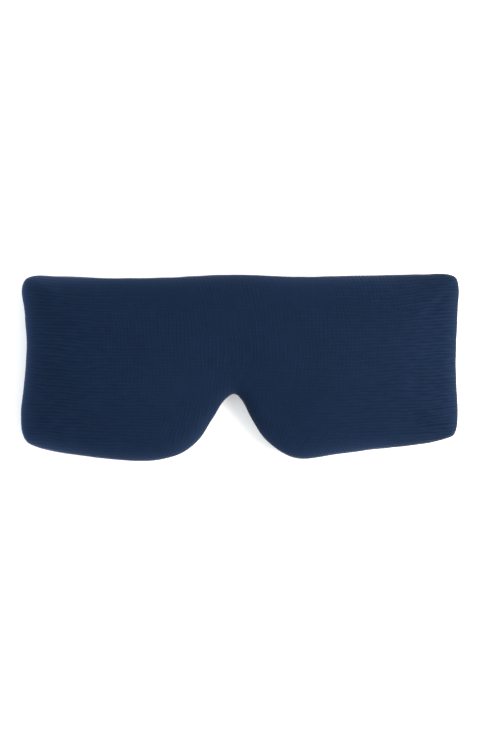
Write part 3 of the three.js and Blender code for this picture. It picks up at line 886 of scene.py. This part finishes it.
HALVES = {
    # word: (side of the mask, height of the outer run's middle, height of its tip's middle)
    "left": (-1, 0.6, 1.0),
    "right": (1, 1.7, 1.7),
}
ANCHOR_MID, INNER_MID = 6.0, 3.9  # the heights of the middles of the sewn end and of the inner run
ANCHOR_END = 88
TIP_RISE = (92, 97.5)  # where the outer run starts and stops rising to its tip
TIP_END = 101.4  # the elastic's end, inside its binding


def arc(centre_x, centre_z, radius, first_deg, last_deg, steps=14):
    turn = np.radians(np.linspace(first_deg, last_deg, steps + 1))
    return [(centre_x + radius * math.cos(t), centre_z + radius * math.sin(t)) for t in turn]


def straight(a, b, step=2.0):
    count = max(1, round(math.dist(a, b) / step))
    return [(a[0] + (b[0] - a[0]) * k / count, a[1] + (b[1] - a[1]) * k / count) for k in range(count)]


def ribbon(name, sign, path, width, thickness, material, rib=0.0, pinch=(False, False), seed=0, pitch=2.0):
    """A flat strip along a path of (distance from the middle, height), with ribs along both faces.

    An end that is pinched gets thinner over its last millimetre.
    """
    path = np.array(path, float)
    tangent = np.gradient(path, axis=0)
    tangent /= np.linalg.norm(tangent, axis=1)[:, None]
    normal = np.column_stack([-tangent[:, 1], tangent[:, 0]])
    along = distances_along(path)
    count = int(width / pitch * 6) if rib else 18
    across = np.linspace(-1, 1, count + 1)
    across = np.sign(across) * (1 - (1 - np.abs(across)) ** 1.15)
    half = thickness / 2 * np.sqrt(np.maximum(0.02, 1 - np.abs(across) ** 22))
    half = half - rib * (1 - np.abs(np.sin(math.pi * across * width / 2 / pitch)) ** 0.7)
    verts, uv = [], []
    for point, n, s in zip(path, normal, along):
        slim = 1.0
        for end, distance in zip(pinch, (s, along[-1] - s)):
            if end:
                slim = min(slim, 0.45 + 0.55 * min(1.0, distance))
        y = STRAP_Y + across * (width / 2 + 0.08 * math.sin(s * 2.4 + seed))
        for face in (1, -1):
            offset = face * half * slim
            verts.append(np.column_stack([sign * (point[0] + n[0] * offset), y, point[1] + n[1] * offset]))
            uv.append(np.column_stack([across * width / 2, np.full(count + 1, s)]))
    size = count + 1
    base = np.arange(len(path))[:, None] * 2 * size
    rings = np.hstack([base + np.arange(size), base + 2 * size - 1 - np.arange(size)])
    faces = [ring_faces(a, b) for a, b in zip(rings[:-1], rings[1:])]
    k = np.arange(count)
    for start, flip in ((0, 1), (base[-1, 0], -1)):
        cap = np.stack([start + k, start + k + 1, start + size + k + 1, start + size + k], 1)
        faces.append(cap[:, ::flip])
    faces = np.vstack(faces)
    if sign > 0:
        faces = faces[:, ::-1]
    return put(name, np.vstack(verts), faces, material, np.vstack(uv), sharp_deg=55)


def strap_elastic(word):
    """The elastic of one half: two pieces that each bend across one fold, and meet on the inner run."""
    sign, outer, tip = HALVES[word]
    pivot, radius = (ANCHOR_MID + INNER_MID) / 2, (ANCHOR_MID - INNER_MID) / 2
    path = straight((ANCHOR_END, ANCHOR_MID), (ROOT_X, ANCHOR_MID)) + arc(ROOT_X, pivot, radius, 90, -90)
    path += straight((ROOT_X, INNER_MID), (RUN_JOIN_X, INNER_MID))[1:] + [(RUN_JOIN_X, INNER_MID)]
    cut = (STRAP_WIDTH, ELASTIC_THICKNESS, ELASTIC_CLOTH, ELASTIC_RIB)
    root = ribbon(f"strap_{word}_root", sign, path, *cut, pinch=(True, False))
    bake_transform(root)
    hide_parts(f"strap_{word}_anchor", f"strap_{word}_inner_run")

    radius = (INNER_MID - outer) / 2
    path = straight((RUN_JOIN_X, INNER_MID), (FOLD_X, INNER_MID))
    path += arc(FOLD_X, outer + radius, radius, 90, 270)
    first, last = TIP_RISE
    path += straight((FOLD_X, outer), (first, outer))[1:] + straight((first, outer), (last, tip))
    path += straight((last, tip), (TIP_END, tip)) + [(TIP_END, tip)]
    run = ribbon(f"strap_{word}_run", sign, path, *cut, pinch=(False, True))
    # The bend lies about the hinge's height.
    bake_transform(run)
    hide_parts(f"strap_{word}_outer_run")


def rectangle(x0, x1, y0, y1, z):
    """A closed line round a level rectangle."""
    return [(x0, y0, z), (x1, y0, z), (x1, y1, z), (x0, y1, z), (x0, y0, z)]


def anchor_stitching(word):
    """The crossed box that sews the elastic to the back, on the elastic's own face."""
    sign = HALVES[word][0]
    corners = rectangle(sign * 89.8, sign * 99.8, STRAP_Y - 12, STRAP_Y + 12, ANCHOR_MID - 0.5)
    thread = Soup()
    for k in range(4):
        thread.stitches(corners[k: k + 2], (0, 0, -1), seed=k)
    thread.stitches([corners[0], corners[2]], (0, 0, -1), seed=5)
    thread.stitches([corners[1], corners[3]], (0, 0, -1), seed=6, rise=0.22)
    made = thread.put(f"anchor_stitches_{word}", THREAD, "mask")
    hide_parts(f"anchor_stitching_{word}")


def end_binding(word):
    """A short tape folded over the strap's end and sewn across: the pull tab."""
    sign, _, tip = HALVES[word]
    first, last, off = 96.6, 102.4, 0.74
    path = straight((first, tip + off), (last, tip + off), 0.8) + arc(last, tip, off, 90, -90, 10)
    path += straight((last, tip - off), (first, tip - off), 0.8)[1:] + [(first, tip - off)]
    cut = (STRAP_WIDTH + 0.8, BINDING_THICKNESS, BINDING_CLOTH)
    made = ribbon(f"binding_fold_{word}", sign, path, *cut, seed=3)
    thread = Soup()
    for face in (1, -1):
        z = tip + face * 0.93
        line = [(sign * 98.2, STRAP_Y - 14.2, z), (sign * 98.2, STRAP_Y + 14.2, z)]
        thread.stitches(line, (0, 0, face), 2.2, radius=0.15, rise=0.0, seed=face + 3)
    sewn = thread.put(f"binding_stitches_{word}", THREAD, f"strap_{word}_outer")
    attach(made, f"strap_{word}_outer")
    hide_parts(f"end_binding_{word}")


def tape_stitching(name, body, x0, x1, z_faces, seed):
    """A rectangle of stitches round a tape, showing on the tape and on the elastic's other face."""
    y0, y1 = STRAP_Y - TAPE_WIDTH / 2 + 1.3, STRAP_Y + TAPE_WIDTH / 2 - 1.3
    thread = Soup()
    for z, normal in z_faces:
        corners = rectangle(x0, x1, y0, y1, z)
        for k in range(4):
            thread.stitches(corners[k: k + 2], (0, 0, normal), 2.4, seed=seed + k, rise=0.06)
    made = thread.put(name.replace("stitching", "stitches"), THREAD, body)
    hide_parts(name)


def tape_ground(x0, x1, low, high):
    """The points and faces of a fastener tape's thin ground strip, which has rounded corners."""
    radius, y0, y1 = 1.5, STRAP_Y - TAPE_WIDTH / 2, STRAP_Y + TAPE_WIDTH / 2
    loop = []
    for cx, cy, first in ((x1 - radius, y0 + radius, -90), (x1 - radius, y1 - radius, 0),
                          (x0 + radius, y1 - radius, 90), (x0 + radius, y0 + radius, 180)):
        turn = np.radians(np.linspace(first, first + 90, 6))
        loop += [(cx + radius * math.cos(t), cy + radius * math.sin(t)) for t in turn]
    loop = np.array(loop)
    middle = loop.mean(0)
    inward = (middle - loop) / np.abs(middle - loop).max()
    levels = ((0.12, low), (0, low + 0.1), (0, high - 0.1), (0.12, high))
    verts = [np.column_stack([loop + inward * inset, np.full(len(loop), z)]) for inset, z in levels]
    rings = np.arange(len(levels) * len(loop)).reshape(len(levels), len(loop))
    faces = np.vstack([ring_faces(a, b) for a, b in zip(rings[:-1], rings[1:])]).tolist()
    return np.vstack(verts), faces + [rings[0][::-1].tolist(), rings[-1].tolist()]


def loop_tape():
    """The soft half of the fastener: a ground strip under a brushed pile of fine loops."""
    x0, x1, low, high = -96.0, -36.0, 1.22, 1.72
    verts, faces = tape_ground(x0, x1, low, high)
    base = len(verts)
    xs = np.arange(x0 + 0.5, x1 - 0.4, LOOP_PITCH)
    ys = np.arange(STRAP_Y - TAPE_WIDTH / 2 + 0.5, STRAP_Y + TAPE_WIDTH / 2 - 0.4, LOOP_PITCH)
    gx, gy = np.meshgrid(xs, ys, indexing="ij")
    rng = np.random.default_rng(21)
    points = np.column_stack([gx.ravel(), gy.ravel(), np.zeros(gx.size)])
    edge = np.minimum.reduce([gx - xs[0], xs[-1] - gx, gy - ys[0], ys[-1] - gy]).ravel()
    nap = 0.3 + 0.14 * wobble(points, 1.1, 8) + rng.uniform(-0.12, 0.12, gx.size)
    height = high - 0.05 + smooth(edge / 0.8) * nap
    shift = rng.uniform(-0.12, 0.12, (gx.size, 2))
    pile = np.column_stack([points[:, :2] + shift, height])
    k = np.arange(gx.size).reshape(gx.shape) + base
    quads, ring = grid_quads(k), grid_ring(k)
    under = pile.copy()
    under[:, 2] = high - 0.12
    faces += quads.tolist() + (quads[:, ::-1] + gx.size).tolist()
    faces += ring_faces(ring + gx.size, ring).tolist()
    soup = Soup()
    for _ in range(LOOP_COUNT):
        x, y = rng.uniform(x0 + 1, x1 - 1), rng.uniform(STRAP_Y - 12.5, STRAP_Y + 12.5)
        a, r = rng.uniform(0, 2 * math.pi), rng.uniform(0.18, 0.34)
        turn = np.linspace(0, math.pi, 6)
        reach = r * np.cos(turn)
        rise = r * 1.1 * np.sin(turn)
        path = np.column_stack([x + reach * math.cos(a), y + reach * math.sin(a), high + 0.12 + rise])
        soup.tube(path, 0.045, (-math.sin(a), math.cos(a), 0.0), 3)
    offset = base + 2 * gx.size
    faces += [[v + offset for v in f] for f in soup.faces]
    verts = np.vstack([verts, pile, under, *soup.verts])
    body = "strap_left_outer"
    made = put("loop_pile_strip", verts, faces, LOOP_PILE, verts[:, :2], body, sharp_deg=60)
    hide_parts("loop_tape")
    tape_stitching("loop_tape_stitching", body, x0 + 1.3, x1 - 1.3, ((2.02, 1), (0.2, -1)), 30)


def hook_tape():
    """The stiff half of the fastener: rows of small hooks that lean towards each other in turn."""
    x0, x1, low, high = 54.0, 96.0, 0.62, 1.06
    verts, faces = tape_ground(x0, x1, low, high)
    soup = Soup()
    bend = np.array([(0, 0), (0.02, 0.2), (0.06, 0.38), (0.16, 0.5), (0.3, 0.5), (0.38, 0.38), (0.39, 0.28)])
    radii = np.array([0.13, 0.11, 0.1, 0.09, 0.08, 0.07, 0.05])
    for i in range(int((x1 - x0 - 3) / HOOK_PITCH) + 1):
        for j in range(int((TAPE_WIDTH - 4) / HOOK_PITCH) + 1):
            x, y = x0 + 1.9 + i * HOOK_PITCH, STRAP_Y - TAPE_WIDTH / 2 + 2.2 + j * HOOK_PITCH
            lean = 1 if j % 2 else -1
            path = np.column_stack([x + lean * bend[:, 0], np.full(len(bend), y), low + 0.03 - bend[:, 1]])
            soup.tube(path, radii, (0, 1, 0), 5)
    faces += [[v + len(verts) for v in f] for f in soup.faces]
    verts = np.vstack([verts, *soup.verts])
    body = "strap_right_outer"
    made = put("hook_strip", verts, faces, HOOK_PLASTIC, verts[:, :2], body, sharp_deg=60)
    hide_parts("hook_tape")
    tape_stitching("hook_tape_stitching", body, x0 + 1.1, x1 - 1.1, ((0.62, -1), (2.2, 1)), 40)


for half in HALVES:
    strap_elastic(half)
    anchor_stitching(half)
    end_binding(half)
loop_tape()
hook_tape()

# ---------------- stage, light and camera

floor_nodes = Nodes("studio_floor", 0.9, Specular_IOR_Level=0.1, Emission_Strength=0.2)
floor_nodes.set("Emission Color", (1, 1, 1, 1))
floor_tone = floor_nodes.noise(floor_nodes.place(), 8.0, 2.0)
floor_colour = floor_nodes.colour(floor_tone, (0.95, 0.93, 0.91), (0.97, 0.95, 0.93))
FLOOR_Z = -0.3
FLOOR_REACH = 3000
floor_corners = [(x * FLOOR_REACH, y * FLOOR_REACH, FLOOR_Z) for x, y in ((-1, -1), (1, -1), (1, 1), (-1, 1))]
floor = put("studio_floor", floor_corners, [(0, 1, 2, 3)], floor_nodes.finish(floor_colour), smooth=False)

scene = bpy.context.scene
scene.view_settings.view_transform = "Standard"
scene.view_settings.look = "None"
scene.view_settings.exposure = 0
world = bpy.data.worlds.new("studio")
scene.world = world
world.use_nodes = True
background = world.node_tree.nodes["Background"]
background.inputs["Color"].default_value = (0.91, 0.965, 1, 1)
background.inputs["Strength"].default_value = 1.15


def area_light(name, place, aim, size, power, colour):
    data = bpy.data.lights.new(name, "AREA")
    data.size, data.energy, data.color = size, power, colour
    light = bpy.data.objects.new(name, data)
    light.location = place
    light.rotation_mode = "QUATERNION"
    light.rotation_quaternion = (Vector(aim) - Vector(place)).to_track_quat("-Z", "Y")
    scene.collection.objects.link(light)


area_light("key", (0.5, -0.02, 0.4), (0.02, 0, 0), size=0.42, power=8.7, colour=(1.0, 0.9, 0.79))
area_light("fill", (-0.6, 0.02, 0.1), (-0.1, 0, 0.012), size=0.25, power=1.1, colour=(0.8, 0.9, 1.0))

CAMERA_HEIGHT = 1.5
CAMERA_SHIFT = (-0.0002, -0.0003)  # from over the middle of the mask
SENSOR = 36
VIEW_HEIGHT = 0.3614  # metres of the edge's plane from top to bottom of the picture
camera = bpy.data.objects.new("camera", bpy.data.cameras.new("camera"))
scene.collection.objects.link(camera)
camera.data.sensor_width = SENSOR
camera.data.lens = SENSOR * CAMERA_HEIGHT / VIEW_HEIGHT
camera.location = (*CAMERA_SHIFT, CAMERA_HEIGHT + EDGE_Z * MM)
scene.camera = camera
